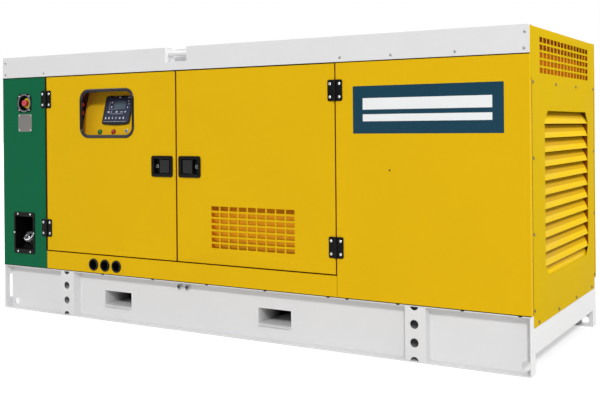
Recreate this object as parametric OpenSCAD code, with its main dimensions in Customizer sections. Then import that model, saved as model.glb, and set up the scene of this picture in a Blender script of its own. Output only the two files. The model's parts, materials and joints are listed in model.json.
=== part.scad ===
// Enclosed diesel generator set: a sheet-metal canopy with two front doors on a channel base.
// +X runs along the set towards the louvred air outlet, the doors face -Y, +Z is up.
// The origin is on the floor, in the middle of the base. Sizes are in millimetres.

/* [Overall] */
// Length over the end panels
overall_length = 3600; // [3560:10:3700]
// Width over the side panels
overall_width = 1320; // [1280:10:1400]
// Height from the floor to the top of the roof rails
overall_height = 1680; // [1660:10:1740]
// Thickness of the canopy's panels
skin = 4; // [3:0.5:5]

/* [Base] */
// Height of the base channels
base_height = 288; // [280:2:300]
// How far the web is set back from the flange edges
web_recess = 66; // [60:1:72]
// Thickness of the base steel
base_steel = 6; // [5:1:8]
// Height of the underside of the end beams
end_beam_bottom = 97; // [80:1:110]
// Place of the left hoisting posts along the set
left_post_x = -1219; // [-1240:1:-1180]
// Place of the right hoisting posts along the set
right_post_x = 1201; // [1180:1:1240]
// Width of a hoisting post
post_width = 112; // [100:1:130]
// How far the holes stand from the middle of their post
post_hole_shift = -5; // [-10:1:10]
// Radius of the holes in the posts and in the feet
post_hole_r = 23; // [18:0.5:24]
// Pitch of the holes up a post
post_hole_pitch = 94; // [88:1:96]
// Inner width of a fork pocket
pocket_width = 218; // [200:1:240]
// Inner height of a fork pocket
pocket_height = 90; // [80:1:110]

/* [Doors] */
// Height of the bottom seam of the doors
door_bottom = 407; // [395:1:420]
// Seam between the green end module and the left door
left_seam_x = -1394; // [-1400:1:-1380]
// Seam between the two doors
middle_seam_x = -322; // [-340:1:-310]
// Seam between the right door and the fixed panel
right_seam_x = 752; // [730:1:770]
// Width of a seam between a door and a fixed panel
seam = 6; // [6:1:8]
// Width of the seam between the two doors
middle_seam = 8; // [8:1:10]
// Depth of a door
door_depth = 30; // [28:1:32]
// Height of the upper hinges
hinge_high = 1392; // [1380:1:1400]
// Height of the lower hinges
hinge_low = 555; // [540:1:570]
// Width of a hinge's leaf from its pin
hinge_leaf = 44; // [40:1:50]

/* [Window and console] */
// Middle of the window along the set
window_x = -871; // [-880:1:-860]
// Middle of the window above the floor
window_z = 1294; // [1280:1:1300]
// Width over the window's rubber
window_width = 450; // [430:2:460]
// Height over the window's rubber
window_height = 310; // [300:2:320]
// How far the console's face leans back
console_tilt = 16; // [8:1:18]

/* [Vents] */
// Pitch of the louvre blades
louvre_pitch = 71; // [66:1:71]
// Middle of the louvre opening across the set
louvre_y = 36; // [0:1:50]
// Number of louvre blades at each end
louvre_count = 11; // [8:1:11]
// Columns and rows of holes in an end header
header_grid = [15, 5]; // [3:1:15]
// Columns and rows of holes in the right door
door_grid = [9, 7]; // [3:1:9]

/* [Roof] */
// Height of the seam below the roof rails
rail_bottom = 1542; // [1540:1:1550]
// Middle of the lifting notch along the set
notch_x = -320; // [-340:1:-300]
// Width of the lifting notch
notch_width = 158; // [140:2:180]
// Depth of the lifting notch below the top
notch_depth = 88; // [80:1:95]

/* [Hidden] */
$fn = 48;
side_y = overall_width / 2;
end_x = overall_length / 2;
base_end = end_x - skin;
web_y = side_y - web_recess;
web_inner = web_y - base_steel;
skin_back = side_y - skin;
return_depth = 36;
frame_front = side_y - return_depth;
frame_depth = 40;
frame_back = frame_front - frame_depth;
corner_return = 28;
corner_angle = 50;
end_seam_z = 1422;
top_z = overall_height;
roof_z = top_z - 2 * skin;
door_top = rail_bottom - seam;
door_low = door_bottom + seam / 2;
left_door = [left_seam_x + seam / 2, middle_seam_x - middle_seam / 2];
right_door = [middle_seam_x + middle_seam / 2, right_seam_x - seam / 2];
pocket_x = [-844, 318];
pocket_z = 129;
pocket_wall = 6;
foot_hole_inset = 44;
foot_hole_z = 36;
hinge_y = side_y + 8;
hinge_half = 57;
knuckle_r = 7.5;
hinge_pin_r = 4;
lock_z = 970;
left_lock_x = -428;
right_lock_x = -222;
lock_frame = [160, 126];
paddle_pin = [-15, 7];
estop_x = -1594;
estop_z = 1372;
filler_x = -1603;
filler_z = 511;
filler_wall = 3;
filler_half = [85.5, 112];
filler_floor = filler_z - filler_half[1] + filler_wall;
cable_x = [-988, -893, -799];
cable_z = 343;
mesh_x = 212;
mesh_z = 624;
mesh_size = [570, 252];
header_mesh_z = 1542;
header_mesh_size = [990, 188];
grid_bar = [9, 11];
louvre_half = 448;
louvre_bottom = 446;
louvre_top = 1268;
louvre_cut = 56;
console_x = [-1155, -600];
lamp_up = 102;
key_up = 105;
console_front = 615;
console_low = 1080;
console_high = 1480;
console_back = 400;
canopy_yellow = "#DFB315";
canopy_green = "#1F6647";
frame_white = "#DEDEDE";
black_plastic = "#1B1B1D";
chrome_colour = "#C9CCD0";

// A box between two corners.
module block(low, high) {
    translate(low) cube(high - low);
}

// A flat outline drawn as X and Z, made solid between two depths.
module upright(y_low, y_high) {
    translate([0, y_high, 0]) rotate([90, 0, 0]) linear_extrude(y_high - y_low) children();
}

// A flat outline drawn as Y and Z, made solid between two places along the set.
module crosswise(x_low, x_high) {
    translate([x_low, 0, 0]) rotate([90, 0, 90]) linear_extrude(x_high - x_low) children();
}

// The same thing at the front and mirrored at the back.
module front_and_back() {
    children();
    mirror([0, 1, 0]) children();
}

// A rectangle about the origin with round corners.
module rounded(width, height, radius) {
    square([width - 2 * radius, height], center = true);
    square([width, height - 2 * radius], center = true);
    for (i = [-1, 1], j = [-1, 1])
        translate([i * (width / 2 - radius), j * (height / 2 - radius)]) circle(radius);
}

// A rectangle about the origin with its corners cut off.
module chamfered(width, height, cut) {
    a = width / 2;
    b = height / 2;
    polygon([[-a, cut - b], [cut - a, -b], [a - cut, -b], [a, cut - b],
        [a, b - cut], [a - cut, b], [cut - a, b], [-a, b - cut]]);
}

// A grid of square-cut holes about the origin.
module punched(size, grid, bar) {
    pitch = [size[0] / grid[0], size[1] / grid[1]];
    for (i = [0 : grid[0] - 1], j = [0 : grid[1] - 1])
        translate([(i + 0.5) * pitch[0] - size[0] / 2, (j + 0.5) * pitch[1] - size[1] / 2])
            square([pitch[0] - bar[0], pitch[1] - bar[1]], center = true);
}

// A round bar or hole across the set.
module across(x, z, y_low, y_high, radius) {
    translate([x, y_high, z]) rotate([90, 0, 0]) cylinder(h = y_high - y_low, r = radius);
}

// ---- Base ----

// Channel along one side: web set back, flanges outwards, a plate closing each end.
module base_side() {
    color(frame_white) difference() {
        union() {
            block([-base_end, -web_y, 0], [base_end, -web_inner, base_height]);
            for (z = [0, base_height - base_steel])
                block([-base_end, -side_y, z], [base_end, -web_inner, z + base_steel]);
            for (x = [-base_end, base_end - base_steel])
                block([x, -side_y, 0], [x + base_steel, -web_inner, base_height]);
        }
        for (x = [-base_end + foot_hole_inset, base_end - foot_hole_inset])
            across(x, foot_hole_z, -web_y - 1, -web_inner + 1, post_hole_r);
        for (x = pocket_x)
            upright(-web_y - 1, -web_inner + 1) translate([x, pocket_z])
                square([pocket_width, pocket_height] + [1, 1] * 2 * pocket_wall, center = true);
        crosswise(-base_end - 1, -base_end + base_steel + 1) translate([-web_y - 16, 142])
            rounded(27, 160, 13.4);
    }
}

module base_sides() {
    front_and_back() base_side();
}

// Channel across one end, with its flanges inwards.
module base_end_beam() {
    color(frame_white) {
        block([base_end - base_steel, -web_inner, end_beam_bottom], [base_end, web_inner, base_height]);
        for (z = [end_beam_bottom, base_height - base_steel])
            block([base_end - 56, -web_inner, z], [base_end - base_steel, web_inner, z + base_steel]);
    }
}

module base_ends() {
    base_end_beam();
    mirror([1, 0, 0]) base_end_beam();
}

// Four box posts between the flanges, each with a row of round holes.
module hoisting_posts() {
    half = post_width / 2;
    low = base_steel;
    high = base_height - base_steel;
    color(frame_white) front_and_back() for (x = [left_post_x, right_post_x]) difference() {
        block([x - half, -side_y, low], [x + half, -web_y, high]);
        block([x - half + base_steel, -side_y + base_steel, low - 1],
            [x + half - base_steel, -web_y + 1, high + 1]);
        for (i = [0 : 3])
            across(x + post_hole_shift, 4 + i * post_hole_pitch, -side_y - 1, -side_y + base_steel + 1,
                post_hole_r);
    }
}

// Rectangular tube through both webs, with a turned-out lip at each mouth.
module fork_pocket(x) {
    reach = web_y + 3;
    inner = [pocket_width, pocket_height];
    lip_half = pocket_width / 2 - 4;
    floor_z = pocket_z - pocket_height / 2;
    color(frame_white) {
        upright(-reach, reach) translate([x, pocket_z]) difference() {
            square(inner + [1, 1] * 2 * pocket_wall, center = true);
            square(inner, center = true);
        }
        front_and_back() block([x - lip_half, -reach - 16, floor_z - pocket_wall],
            [x + lip_half, -reach, floor_z - 2]);
    }
}

module fork_pockets() {
    for (x = pocket_x) fork_pocket(x);
}

// Closed deck under the canopy.
module base_deck() {
    color(frame_white) block([-base_end + base_steel, -web_inner, base_height - 2 * base_steel],
        [base_end - base_steel, web_inner, base_height - base_steel]);
}

// Two short drain pipes on the front web.
module drain_stubs() {
    color(chrome_colour) for (x = [-349, -290]) difference() {
        across(x, 248, -web_y - 18, -web_y, 14);
        across(x, 248, -web_y - 19, -web_y - 4, 9);
    }
}

// ---- Canopy ----

// Angles standing in the four corners.
module corner_posts() {
    color(canopy_yellow) front_and_back() for (side = [0, 1]) mirror([side, 0, 0]) {
        block([base_end - corner_angle, -skin_back, base_height], [base_end, -skin_back + skin, roof_z]);
        block([base_end - skin, -skin_back + skin, base_height],
            [base_end, -skin_back + corner_angle, roof_z]);
    }
}

// Panel from a seam to the end of the set, turned round the corner and in at the seam.
module side_panel(seam_x) {
    inner = seam_x + seam / 2;
    block([inner, -side_y, base_height], [end_x, -skin_back, rail_bottom]);
    block([inner, -skin_back, base_height], [inner + skin, -frame_front, rail_bottom]);
    block([base_end, -skin_back, base_height], [end_x, -side_y + corner_return, end_seam_z - 3]);
}

module green_panels() {
    color(canopy_green) difference() {
        front_and_back() mirror([1, 0, 0]) side_panel(-left_seam_x);
        upright(-side_y - 1, -skin_back + 1) translate([filler_x, filler_z])
            square(2 * filler_half, center = true);
        across(estop_x, estop_z, -side_y - 1, -skin_back + 1, 52.5);
    }
}

module fixed_panels() {
    color(canopy_yellow) front_and_back() side_panel(right_seam_x);
}

// Panel under the doors, with a shelf turned in at its top.
module sill_panel() {
    low_x = left_seam_x - seam / 2 + 2;
    high_x = right_seam_x + seam / 2 - 2;
    top = door_bottom - seam / 2;
    block([low_x, -side_y, base_height], [high_x, -skin_back, top]);
    block([low_x, -skin_back, top - skin], [high_x, -frame_front, top]);
}

module sill_panels() {
    color(canopy_yellow) difference() {
        front_and_back() sill_panel();
        for (x = cable_x) across(x, cable_z, -side_y - 1, -skin_back + 1, 31.5);
    }
}

// Upper end panel with a punched grid.
module end_header() {
    crosswise(base_end, end_x) difference() {
        translate([-skin_back, end_seam_z]) square([2 * skin_back, roof_z - end_seam_z]);
        translate([0, header_mesh_z]) punched(header_mesh_size, header_grid, grid_bar);
    }
}

module left_end_header() {
    color(canopy_green) mirror([1, 0, 0]) end_header();
}

module right_end_header() {
    color(canopy_yellow) end_header();
}

// Lower end panel round the louvre opening, with cut corners and a flap over the end beam.
module end_panel() {
    half = side_y - corner_return - 3;
    flap_half = 612;
    flap_z = 226;
    cut = base_height + half - flap_half;
    crosswise(base_end, end_x) difference() {
        polygon([[-flap_half, flap_z], [flap_half, flap_z], [flap_half, base_height], [half, cut],
            [half, end_seam_z], [-half, end_seam_z], [-half, cut], [-flap_half, base_height]]);
        translate([louvre_y, (louvre_bottom + louvre_top) / 2])
            chamfered(2 * louvre_half, louvre_top - louvre_bottom, louvre_cut);
    }
}

module left_end_panel() {
    color(canopy_green) mirror([1, 0, 0]) end_panel();
}

module right_end_panel() {
    color(canopy_yellow) end_panel();
}

// Folded blades, a steep slope from inside and a lip that leans out, between two end plates.
module louvres() {
    sheet = 3;
    lip = 29;
    lean = 11;
    face = base_end;
    reach = 30;
    plate_low = louvre_bottom + louvre_cut - 10;
    plate_high = louvre_top - louvre_cut;
    for (y = [louvre_y - louvre_half - sheet, louvre_y + louvre_half])
        block([face - reach - sheet, y, plate_low], [face, y + sheet, plate_high]);
    for (i = [0 : louvre_count]) {
        low = louvre_top - 64 - i * louvre_pitch + (i == louvre_count ? 12 : 0);
        nose = low + lip;
        crown = nose + louvre_pitch - lip - 6;
        translate([0, louvre_y + louvre_half + 1, 0]) rotate([90, 0, 0])
            linear_extrude(2 * louvre_half + 2)
            polygon([[face, low], [face - lean, nose], [face - reach, crown], [face - reach - sheet, crown],
                [face - lean - sheet, nose - 1], [face - sheet, low]]);
    }
}

module left_louvres() {
    color(canopy_green) mirror([1, 0, 0]) louvres();
}

module right_louvres() {
    color(canopy_yellow) louvres();
}

// Rail along the top edge, cut down at the lifting notch.
module roof_rail() {
    half = notch_width / 2;
    inner_end = base_end - corner_angle;
    color(frame_white) difference() {
        union() {
            block([-end_x, -side_y, rail_bottom], [end_x, -skin_back, top_z]);
            block([-base_end, -skin_back, top_z - skin], [base_end, -side_y + 60, top_z]);
            block([-inner_end, -skin_back, rail_bottom], [inner_end, -frame_front, rail_bottom + skin]);
        }
        block([notch_x - half, -side_y - 1, top_z - notch_depth], [notch_x + half, -side_y + 61, top_z + 1]);
    }
}

module roof_rails() {
    front_and_back() roof_rail();
}

// Flat roof sheet between and under the rails' top flanges.
module roof_panel() {
    half = notch_width / 2 + base_steel;
    color(canopy_yellow) difference() {
        block([-base_end, -side_y + 12, roof_z], [base_end, side_y - 12, roof_z + skin]);
        front_and_back() block([notch_x - half, -side_y, roof_z - 1],
            [notch_x + half, -side_y + 100, roof_z + skin + 1]);
    }
}

// Open boxes let into the roof edge, round the lifting bars.
module lifting_pockets() {
    half = notch_width / 2;
    wall = base_steel;
    floor_z = top_z - notch_depth;
    back = side_y - 100;
    color(frame_white) front_and_back() {
        for (x = [notch_x - half - wall, notch_x + half])
            block([x, -skin_back, floor_z - wall], [x + wall, -back, roof_z + skin]);
        block([notch_x - half, -back - wall, floor_z - wall], [notch_x + half, -back, roof_z + skin]);
        block([notch_x - half, -skin_back, floor_z - wall], [notch_x + half, -back - wall, floor_z]);
    }
}

module lifting_bars() {
    color(frame_white) front_and_back()
        translate([notch_x - notch_width / 2, -side_y + 42, top_z - 37]) rotate([0, 90, 0])
            cylinder(h = notch_width, r = 15);
}

// Ring of box section behind the doors, with a post between them and legs to the base.
module door_frame() {
    bays = [[left_seam_x + 30, middle_seam_x - 30], [middle_seam_x + 30, right_seam_x - 30]];
    low = 437;
    high = 1512;
    color(canopy_yellow) upright(-frame_front, -frame_back) difference() {
        translate([left_seam_x - 36, base_height])
            square([right_seam_x - left_seam_x + 72, high + 64 - base_height]);
        for (bay = bays) {
            translate([bay[0], low]) square([bay[1] - bay[0], high - low]);
            translate([bay[0], base_height - 1]) square([bay[1] - bay[0], 370 - base_height + 1]);
        }
    }
}

module door_frames() {
    front_and_back() door_frame();
}

// ---- Doors ----

// Tray-shaped leaf, open at the back.
module door_leaf(span) {
    sheet = 3;
    difference() {
        block([span[0], -side_y, door_low], [span[1], -side_y + door_depth, door_top]);
        block([span[0] + sheet, -side_y + sheet, door_low + sheet],
            [span[1] - sheet, -side_y + door_depth + 1, door_top - sheet]);
    }
}

module lock_cutout(x) {
    upright(-side_y - 1, -side_y + 4) translate([x, lock_z]) square([127, 96], center = true);
}

module front_left_door() {
    color(canopy_yellow) difference() {
        door_leaf(left_door);
        upright(-side_y - 1, -side_y + 4) translate([window_x, window_z])
            rounded(window_width - 20, window_height - 20, 60);
        lock_cutout(left_lock_x);
    }
}

module front_right_door() {
    color(canopy_yellow) difference() {
        door_leaf(right_door);
        upright(-side_y - 1, -side_y + 4) translate([mesh_x, mesh_z]) punched(mesh_size, door_grid, grid_bar);
        lock_cutout(right_lock_x);
    }
}

// Hood behind the punched grid of the right door, open at its bottom.
module vent_hood() {
    half = mesh_size[0] / 2 + 12;
    low = mesh_z - mesh_size[1] / 2 - 12;
    high = mesh_z + mesh_size[1] / 2 + 12;
    color(canopy_yellow) difference() {
        block([mesh_x - half, -side_y + 3, low], [mesh_x + half, -side_y + 62, high]);
        block([mesh_x - half + 2, -side_y + 2, low - 1], [mesh_x + half - 2, -side_y + 60, high - 2]);
    }
}

module back_doors() {
    color(canopy_yellow) mirror([0, 1, 0]) {
        door_leaf(left_door);
        difference() {
            door_leaf(right_door);
            upright(-side_y - 1, -side_y + 4) translate([mesh_x, mesh_z])
                punched(mesh_size, door_grid, grid_bar);
        }
    }
}

module window_rubber() {
    color(black_plastic) translate([window_x, 0, window_z]) {
        upright(-side_y - 7, -side_y) difference() {
            rounded(window_width, window_height, 70);
            rounded(window_width - 34, window_height - 34, 53);
        }
        upright(-side_y, -side_y + 10) difference() {
            rounded(window_width - 20, window_height - 20, 60);
            rounded(window_width - 34, window_height - 34, 53);
        }
    }
}

module window_pane() {
    color("#9FB4BF", 0.4) translate([window_x, 0, window_z]) upright(-side_y + 2, -side_y + 6)
        rounded(window_width - 34, window_height - 34, 53);
}

// ---- Console ----

// Outline of the console's side, drawn a wall's thickness smaller where asked.
module console_outline(wall) {
    low = console_low + wall;
    high = console_high - wall;
    slope = tan(console_tilt);
    inset = wall / cos(console_tilt);
    back = wall > 0 ? -console_back + 1 : -console_back;
    polygon([[-console_front + wall * slope + inset, low], [back, low],
        [back, high], [-console_front + (high - console_low) * slope + inset, high]]);
}

// Sheet-metal box with a face that leans back, open towards the machine.
module control_console() {
    wall = 3;
    color(canopy_yellow) difference() {
        crosswise(console_x[0], console_x[1]) console_outline(0);
        crosswise(console_x[0] + wall, console_x[1] - wall) console_outline(wall);
    }
}

// Places what is drawn facing -Y on the console's leaning face.
module on_console(x, up) {
    translate([x, -console_front, console_low]) rotate([-console_tilt, 0, 0]) translate([0, -0.002, up])
        children();
}

module console_stand() {
    color(canopy_yellow) for (x = [console_x[0] + 20, console_x[1] - 60])
        block([x, -console_back, base_height - base_steel], [x + 40, -console_back + 40, console_high]);
}

module controller() {
    color("#22283A") on_console(-871, 241) upright(-14, 0) rounded(224, 185, 14);
}

module lamp(x) {
    on_console(x, lamp_up) across(0, 0, -18, 0, 15);
}

module lamp_green() {
    color("#1E8A3C") lamp(-992);
}

module lamp_red() {
    color("#C02A2A") lamp(-878);
}

module key_switch() {
    color(chrome_colour) on_console(-768, key_up) {
        across(0, 0, -16, -0.3, 13);
        block([-2, -34, -11], [2, -16, 11]);
    }
}

// ---- Door furniture ----

// One half of a hinge, drawn round its own pin; the door's half is the upper knuckle.
module hinge_half_leaf(upper) {
    low = upper ? 0.5 : -hinge_half;
    high = upper ? hinge_half : -0.5;
    free_low = upper ? -hinge_half : 0;
    difference() {
        union() {
            upright(3, 8) intersection() {
                rounded(2 * hinge_leaf, 2 * hinge_half, 9);
                translate([2, -hinge_half]) square([hinge_leaf, 2 * hinge_half]);
            }
            translate([0, 0, low]) cylinder(h = high - low, r = knuckle_r);
        }
        translate([0, 0, free_low - 1]) cylinder(h = hinge_half + 1.5, r = knuckle_r + 1.5);
        if (upper) cylinder(h = hinge_half + 1, r = hinge_pin_r + 0.06);
    }
    if (!upper) translate([0, 0, -1]) cylinder(h = hinge_half, r = hinge_pin_r);
}

// Half hinges at two heights; the leaf points to +X, or to -X where flipped.
module hinge_pair(x, upper, flipped) {
    for (z = [hinge_low, hinge_high]) translate([x, -hinge_y, z])
        mirror([flipped ? 1 : 0, 0, 0]) hinge_half_leaf(upper);
}

module hinges_fixed() {
    color(black_plastic) {
        hinge_pair(left_seam_x, false, true);
        hinge_pair(right_seam_x, false, false);
    }
}

module hinges_left_door() {
    color(black_plastic) hinge_pair(left_seam_x, true, false);
}

module hinges_right_door() {
    color(black_plastic) hinge_pair(right_seam_x, true, true);
}

// Black tray with a round key barrel; drawn for the left door, about its own middle.
module lock_tray() {
    front = 7;
    floor_y = 20;
    difference() {
        union() {
            upright(-front, 0) rounded(lock_frame[0], lock_frame[1], 14);
            upright(0, floor_y + 3) square([127, 96], center = true);
        }
        upright(-front - 1, floor_y) square([121, 90], center = true);
    }
    for (low = [-45, 41.5]) difference() {
        block([paddle_pin[0] - 6, 3, low], [paddle_pin[0] + 6, floor_y, low + 3.5]);
        translate([paddle_pin[0], paddle_pin[1], -46]) cylinder(h = 92, r = 3.06);
    }
    across(-44.5, 0, 11, floor_y, 12);
}

// Flat paddle on an upright pin near its outer edge.
module lock_paddle() {
    x = paddle_pin[0];
    y = paddle_pin[1];
    block([x - 3, -1, -39], [52, y - 3, 39]);
    block([x - 3, y - 3, -37], [x + 3, y, 37]);
    translate([x, y, -44.5]) cylinder(h = 89, r = 3);
}

module at_left_lock() {
    translate([left_lock_x, -side_y, lock_z]) children();
}

module at_right_lock() {
    translate([right_lock_x, -side_y, lock_z]) mirror([1, 0, 0]) children();
}

module lock_left() {
    color(black_plastic) at_left_lock() lock_tray();
}

module lock_right() {
    color(black_plastic) at_right_lock() lock_tray();
}

module paddle_left() {
    color("#2E2E31") at_left_lock() lock_paddle();
}

module paddle_right() {
    color("#2E2E31") at_right_lock() lock_paddle();
}

module back_door_fittings() {
    color(black_plastic) mirror([0, 1, 0]) {
        for (x = [left_seam_x, right_seam_x], z = [hinge_low, hinge_high]) translate([x, -side_y, z]) {
            upright(-5, 0) rounded(2 * hinge_leaf, 2 * hinge_half, 9);
            translate([0, -8, -hinge_half]) cylinder(h = 2 * hinge_half, r = knuckle_r);
        }
        for (x = [left_lock_x, right_lock_x])
            translate([x, -side_y, lock_z]) upright(-7, 0) rounded(lock_frame[0], lock_frame[1], 14);
    }
}

// ---- Green module fittings ----

// Plate with a round well for the stop button.
module estop_housing() {
    color("#6E7478") difference() {
        union() {
            upright(-side_y - 4, -side_y) translate([estop_x, estop_z]) rounded(131, 124, 34);
            across(estop_x, estop_z, -side_y, -side_y + 26, 52);
        }
        across(estop_x, estop_z, -side_y - 5, -side_y + 22, 49);
        across(estop_x, estop_z, -side_y + 21, -side_y + 27, 11.1);
    }
}

module estop_button() {
    color("#D0202C") {
        across(estop_x, estop_z, -side_y - 11, -side_y + 9, 21);
        across(estop_x, estop_z, -side_y + 9, -side_y + 30, 11);
    }
}

module data_plate() {
    color("#8C8C8C") block([-1652, -side_y - 2, 1184], [-1529, -side_y, 1298]);
}

// Deep box with a flange and a sloping floor for the filler.
module filler_box() {
    inner = filler_half[0] - filler_wall;
    depth = 150;
    top = filler_z + filler_half[1] - filler_wall;
    color(black_plastic) difference() {
        union() {
            upright(-side_y - 6, -side_y) translate([filler_x, filler_z]) rounded(193, 274, 14);
            upright(-side_y, -side_y + depth + filler_wall) translate([filler_x, filler_z])
                square(2 * filler_half, center = true);
        }
        crosswise(filler_x - inner, filler_x + inner)
            polygon([[-side_y - 7, filler_floor], [-side_y + depth - 90, filler_floor],
                [-side_y + depth, filler_floor + 90], [-side_y + depth, top], [-side_y - 7, top]]);
    }
}

// Neck and cap standing square to the sloping floor.
module filler_cap() {
    color(chrome_colour) translate([filler_x, -side_y + 91, filler_floor + 31]) rotate([45, 0, 0]) {
        cylinder(h = 57, r = 30);
        translate([0, 0, 57]) cylinder(h = 24, r = 38);
    }
}

module cable_grommets() {
    color(black_plastic) for (x = cable_x) difference() {
        union() {
            across(x, cable_z, -side_y - 9, -side_y, 38);
            across(x, cable_z, -side_y, -side_y + 14, 31);
        }
        across(x, cable_z, -side_y - 10, -side_y + 15, 26);
    }
}

base_sides();
base_ends();
hoisting_posts();
fork_pockets();
base_deck();
drain_stubs();
corner_posts();
green_panels();
fixed_panels();
sill_panels();
left_end_header();
left_end_panel();
left_louvres();
right_end_header();
right_end_panel();
right_louvres();
roof_rails();
roof_panel();
lifting_pockets();
lifting_bars();
door_frames();
front_left_door();
front_right_door();
vent_hood();
back_doors();
back_door_fittings();
window_rubber();
window_pane();
control_console();
console_stand();
controller();
lamp_green();
lamp_red();
key_switch();
hinges_fixed();
hinges_left_door();
hinges_right_door();
lock_left();
lock_right();
paddle_left();
paddle_right();
estop_housing();
estop_button();
data_plate();
filler_box();
filler_cap();
cable_grommets();
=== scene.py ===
import json
import math

import bmesh
import bpy
from bpy.props import FloatProperty, FloatVectorProperty, PointerProperty
from mathutils import Matrix, Vector


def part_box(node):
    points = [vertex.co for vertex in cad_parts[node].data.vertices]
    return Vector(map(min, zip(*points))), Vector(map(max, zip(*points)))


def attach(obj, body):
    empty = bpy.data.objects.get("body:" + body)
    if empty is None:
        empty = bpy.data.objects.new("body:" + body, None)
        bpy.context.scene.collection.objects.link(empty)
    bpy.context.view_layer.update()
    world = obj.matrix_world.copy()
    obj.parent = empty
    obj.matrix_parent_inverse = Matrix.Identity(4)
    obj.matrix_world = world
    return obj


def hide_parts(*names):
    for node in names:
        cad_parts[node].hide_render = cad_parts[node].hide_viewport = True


bl_info = {
    "name": "Enclosed generator set",
    "version": (1, 0, 0),
    "blender": (4, 5, 0),
    "location": "3D View > Sidebar > Generator set",
    "description": "Dresses the packed generator set with its folds, fasteners, fittings and finishes",
    "category": "Object",
}

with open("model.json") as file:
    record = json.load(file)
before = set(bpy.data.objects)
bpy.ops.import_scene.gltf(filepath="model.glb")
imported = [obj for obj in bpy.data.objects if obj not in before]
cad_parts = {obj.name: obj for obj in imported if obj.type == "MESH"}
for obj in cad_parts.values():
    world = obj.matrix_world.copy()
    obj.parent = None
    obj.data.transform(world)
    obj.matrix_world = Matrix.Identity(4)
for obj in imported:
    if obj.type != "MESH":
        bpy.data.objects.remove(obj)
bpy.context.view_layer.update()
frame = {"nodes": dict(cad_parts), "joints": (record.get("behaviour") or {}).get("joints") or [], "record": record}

MM = 0.001
# Points nearer than this are one point.
WELD = 0.01 * MM
# A flat face above this area, in square metres, is never shaded as part of a curve.
LARGE_SHEET = 0.1
# Two faces that turn by less than FLAT are one plane, by less than BEND a curve, above CREASE a corner.
FLAT, BEND, CREASE = 0.01, math.radians(30), math.radians(42)
# A direction that lies along no row or column of points.
SLANT = Vector((1, math.sqrt(2), math.pi))
WHITE = (1, 1, 1, 1)
UP = Vector((0, 0, 1))
FRONT = Vector((0, -1, 0))
BACK = Vector((0, 1, 0))
RIGHT = Vector((1, 0, 0))
RECORD = frame["record"]
BODY_OF = {node: body for body, nodes in RECORD["behaviour"]["bodies"].items() for node in nodes}
SLOT_OF = {part["node"]: part["material_slot"] for part in RECORD["subparts"]}
JOINTS = {joint["name"]: joint for joint in frame["joints"]}
POCKETS = [[Vector(corner) for corner in space["box_m"]] for space in RECORD["physics"]["openings"]
           if space["name"].startswith("fork_pocket")]
FRONT_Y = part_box("fixed_panels")[0].y
BACK_Y = -FRONT_Y
END_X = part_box("right_end_panel")[1].x
BASE_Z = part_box("base_sides")[1].z
LEFT_SEAM = JOINTS["left_door_hinge"]["pos_m"][0]
RIGHT_SEAM = JOINTS["right_door_hinge"]["pos_m"][0]
MIDDLE_SEAM = (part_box("front_left_door")[1].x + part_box("front_right_door")[0].x) / 2
END_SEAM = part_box("right_end_header")[0].z
RAIL_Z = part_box("roof_rails")[0].z
TOP_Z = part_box("roof_rails")[1].z
WEB_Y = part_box("fork_pockets")[1].y - 19 * MM
POST_WIDTH = 112 * MM
CONTROLLER_UP, KEY_UP, LAMPS_UP = 244 * MM, 105 * MM, 102 * MM


def around(node):
    """The lowest corner, the highest corner and the middle of a CAD node's box."""
    low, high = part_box(node)
    return low, high, (low + high) / 2


def middle(node):
    """The middle of a CAD node's box."""
    return around(node)[2]


# ---- Settings ----


def linear(code):
    """Turns an sRGB hex value into linear red, green and blue."""
    parts = [int(code[i:i + 2], 16) / 255 for i in (1, 3, 5)]
    return [c / 12.92 if c <= 0.04045 else ((c + 0.055) / 1.055) ** 2.4 for c in parts]


def colour(name, description, code):
    """A colour property with a hex value as its default."""
    return FloatVectorProperty(
        name=name, description=description, subtype="COLOR", size=3, min=0, max=1, default=linear(code))


def length(name, description, default):
    """A length property in metres."""
    return FloatProperty(name=name, description=description, unit="LENGTH", precision=4, default=default)


def power(name, description, default):
    """A lamp's power property in watts."""
    return FloatProperty(name=name, description=description, unit="POWER", default=default)


class GENSET_PG_paint(bpy.types.PropertyGroup):
    """Colours of the sheet metal and the mouldings."""

    yellow: colour("Yellow", "Powder coat of the doors and the front panels", "#E6B812")
    # Painted tone of the right end, set for how the end is lit.
    end_yellow: colour("End yellow", "Powder coat of the right end's sheets", "#D5B106")
    green: colour("Green", "Powder coat of the left end module", "#146844")
    white: colour("White", "Paint of the base and the roof rails", "#E6E6E7")
    black: colour("Black", "Moulded hinges, locks and filler recess", "#09090B")
    teal: colour("Teal", "Plain film patch on the right panel", "#133F52")
    fold: length("Fold radius", "Outer radius of the folds and cut edges of the sheets", 1.4 * MM)
    door_fold: length("Door fold radius", "Outer radius of the folds round the doors", 3 * MM)
    weld: length("Weld width", "Width of the weld beads on the base", 6 * MM)
    # How deep the painted shade inside the fork pockets reaches.
    pocket_paint: length("Pocket paint", "How far into the fork pockets the paint thins out", 230 * MM)


class GENSET_PG_fasteners(bpy.types.PropertyGroup):
    """Sizes of the screws and bolts."""

    screw: length("Screw radius", "Radius of a domed screw head", 7.5 * MM)
    bolt: length("Bolt radius", "Radius of a bolt's washer", 8 * MM)
    hinge: length("Hinge screw radius", "Radius of the domed screws in the hinges", 8.5 * MM)
    filler: length("Filler screw radius", "Radius of the screws in the filler's flange", 6.5 * MM)
    small: length("Small screw radius", "Radius of the screws in plates and mouldings", 5 * MM)
    rail_above_seam: length("Rail screws", "Height of the rail's screws above its seam", 23 * MM)


class GENSET_PG_window(bpy.types.PropertyGroup):
    """Sizes of the window's rubber and pane."""

    corner: length("Corner radius", "Outer radius of the rubber's corners", 70 * MM)
    pane: length("Pane thickness", "Thickness of the clear pane", 4 * MM)
    roll: length("Bead width", "Width of the rubber's half-round bead", 16 * MM)
    bead: length("Bead height", "How far the rubber stands off the door", 6.5 * MM)


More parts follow.
